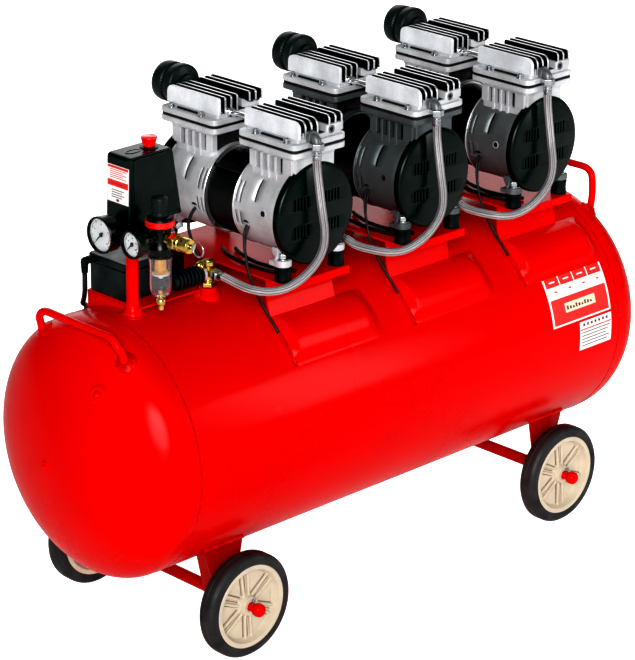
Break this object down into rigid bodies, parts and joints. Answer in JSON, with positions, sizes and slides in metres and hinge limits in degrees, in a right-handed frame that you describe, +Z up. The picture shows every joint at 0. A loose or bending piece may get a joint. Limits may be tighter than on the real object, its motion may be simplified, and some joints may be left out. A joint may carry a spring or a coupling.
{
  "type": "air compressor",
  "caption": "Oil-free piston air compressor: red horizontal tank on wheels, motor-pump units with finned heads and braided hoses, pressure switch, gauges and regulator.",
  "frame": {"origin": "on the floor, midway along and across the tank", "axes": "+X along the tank away from the controls, +Y across the tank towards the intake filters, +Z up"},
  "size_m": [1.046, 0.5148, 0.7408],
  "materials": {
    "red_paint": "gloss",
    "wheel_rubber": "matte",
    "bright_casting": "sand cast",
    "dark_casting": "sand cast, darkened",
    "black_metal": "satin",
    "bare_steel": "machined",
    "black_plastic": "satin",
    "braided_steel": "woven wire braid",
    "brass": "machined",
    "red_plastic": "gloss",
    "clear_plastic": "clear",
    "cord_rubber": "matte"
  },
  "bodies": {
    "compressor": {"tank_shell": "red_paint", "handle_left": "red_paint", "handle_right": "red_paint", "wheel_frame_left": "red_paint", "wheel_frame_right": "red_paint", "control_box_bracket": "red_paint", "motor_bracket_1": "red_paint", "crankcase_front_1": "bright_casting", "crankcase_rear_1": "bright_casting", "motor_shell_1": "black_metal", "heads_1": "bright_casting", "fan_cover_front_1": "black_plastic", "fan_cover_rear_1": "black_plastic", "intake_filter_1": "black_plastic", "hose_1": "braided_steel", "motor_bracket_2": "red_paint", "crankcase_front_2": "dark_casting", "crankcase_rear_2": "dark_casting", "motor_shell_2": "black_metal", "heads_2": "bright_casting", "fan_cover_front_2": "black_plastic", "fan_cover_rear_2": "black_plastic", "intake_filter_2": "black_plastic", "hose_2": "braided_steel", "motor_bracket_3": "red_paint", "crankcase_front_3": "bright_casting", "crankcase_rear_3": "bright_casting", "motor_shell_3": "black_metal", "heads_3": "bright_casting", "fan_cover_front_3": "black_plastic", "fan_cover_rear_3": "black_plastic", "intake_filter_3": "black_plastic", "hose_3": "braided_steel", "control_box": "black_plastic", "manifold": "brass", "switch_cover": "black_plastic", "gauge_tank": "black_metal", "gauge_line": "black_metal", "regulator_body": "black_plastic", "filter_bowl": "clear_plastic", "safety_valve": "brass", "check_valve": "brass", "cord_relief": "black_plastic", "cord_run": "cord_rubber", "cord_coil": "cord_rubber", "cord_plug": "cord_rubber"},
    "bowl_drain": {"bowl_drain": "brass"},
    "drain_cock": {"drain_cock": "brass"},
    "needle_line": {"needle_line": "black_metal"},
    "needle_tank": {"needle_tank": "black_metal"},
    "regulator_knob": {"regulator_knob": "black_plastic"},
    "rotor_1": {"rotor_1": "bare_steel"},
    "rotor_2": {"rotor_2": "bare_steel"},
    "rotor_3": {"rotor_3": "bare_steel"},
    "safety_ring": {"safety_ring": "bare_steel"},
    "switch_knob": {"switch_knob": "red_plastic"},
    "wheel_1": {"wheel_1": "wheel_rubber"},
    "wheel_2": {"wheel_2": "wheel_rubber"},
    "wheel_3": {"wheel_3": "wheel_rubber"},
    "wheel_4": {"wheel_4": "wheel_rubber"}
  },
  "joints": [
    {"name": "wheel_1_roll", "type": "hinge", "parent": "compressor", "child": "wheel_1", "pos_m": [-0.324, -0.16, 0.075], "axis": [0, 1, 0], "continuous": true},
    {"name": "wheel_2_roll", "type": "hinge", "parent": "compressor", "child": "wheel_2", "pos_m": [-0.324, 0.16, 0.075], "axis": [0, 1, 0], "continuous": true},
    {"name": "wheel_3_roll", "type": "hinge", "parent": "compressor", "child": "wheel_3", "pos_m": [0.324, -0.16, 0.075], "axis": [0, 1, 0], "continuous": true},
    {"name": "wheel_4_roll", "type": "hinge", "parent": "compressor", "child": "wheel_4", "pos_m": [0.324, 0.16, 0.075], "axis": [0, 1, 0], "continuous": true},
    {"name": "rotor_1_spin", "type": "hinge", "parent": "compressor", "child": "rotor_1", "pos_m": [-0.16, 0, 0.589], "axis": [0, 1, 0], "continuous": true},
    {"name": "rotor_2_spin", "type": "hinge", "parent": "compressor", "child": "rotor_2", "pos_m": [0.0715, 0, 0.589], "axis": [0, 1, 0], "continuous": true},
    {"name": "rotor_3_spin", "type": "hinge", "parent": "compressor", "child": "rotor_3", "pos_m": [0.303, 0, 0.589], "axis": [0, 1, 0], "continuous": true},
    {"name": "switch_knob_lift", "type": "slide", "parent": "compressor", "child": "switch_knob", "axis": [0, 0, 1], "range_m": [0, 0.008]},
    {"name": "regulator_knob_turn", "type": "hinge", "parent": "compressor", "child": "regulator_knob", "pos_m": [-0.3936, -0.074, 0.64], "axis": [0, 0, 1], "range_deg": [-720, 720]},
    {"name": "needle_tank_swing", "type": "hinge", "parent": "compressor", "child": "needle_tank", "pos_m": [-0.4465, -0.0175, 0.598], "axis": [1, 0, 0], "range_deg": [0, 270], "stiffness_Nm_per_rad": 0.0005},
    {"name": "needle_line_swing", "type": "hinge", "parent": "compressor", "child": "needle_line", "pos_m": [-0.4425, -0.074, 0.598], "axis": [1, 0, 0], "range_deg": [0, 270], "stiffness_Nm_per_rad": 0.0005},
    {"name": "bowl_drain_turn", "type": "hinge", "parent": "compressor", "child": "bowl_drain", "pos_m": [-0.3936, -0.074, 0.505], "axis": [0, 0, 1], "range_deg": [0, 180]},
    {"name": "safety_ring_pull", "type": "slide", "parent": "compressor", "child": "safety_ring", "axis": [0, -1, 0], "range_m": [0, 0.003], "stiffness_N_per_m": 1500},
    {"name": "drain_cock_turn", "type": "hinge", "parent": "compressor", "child": "drain_cock", "pos_m": [0, 0, 0.09], "axis": [0, 0, 1], "range_deg": [0, 360]}
  ]
}
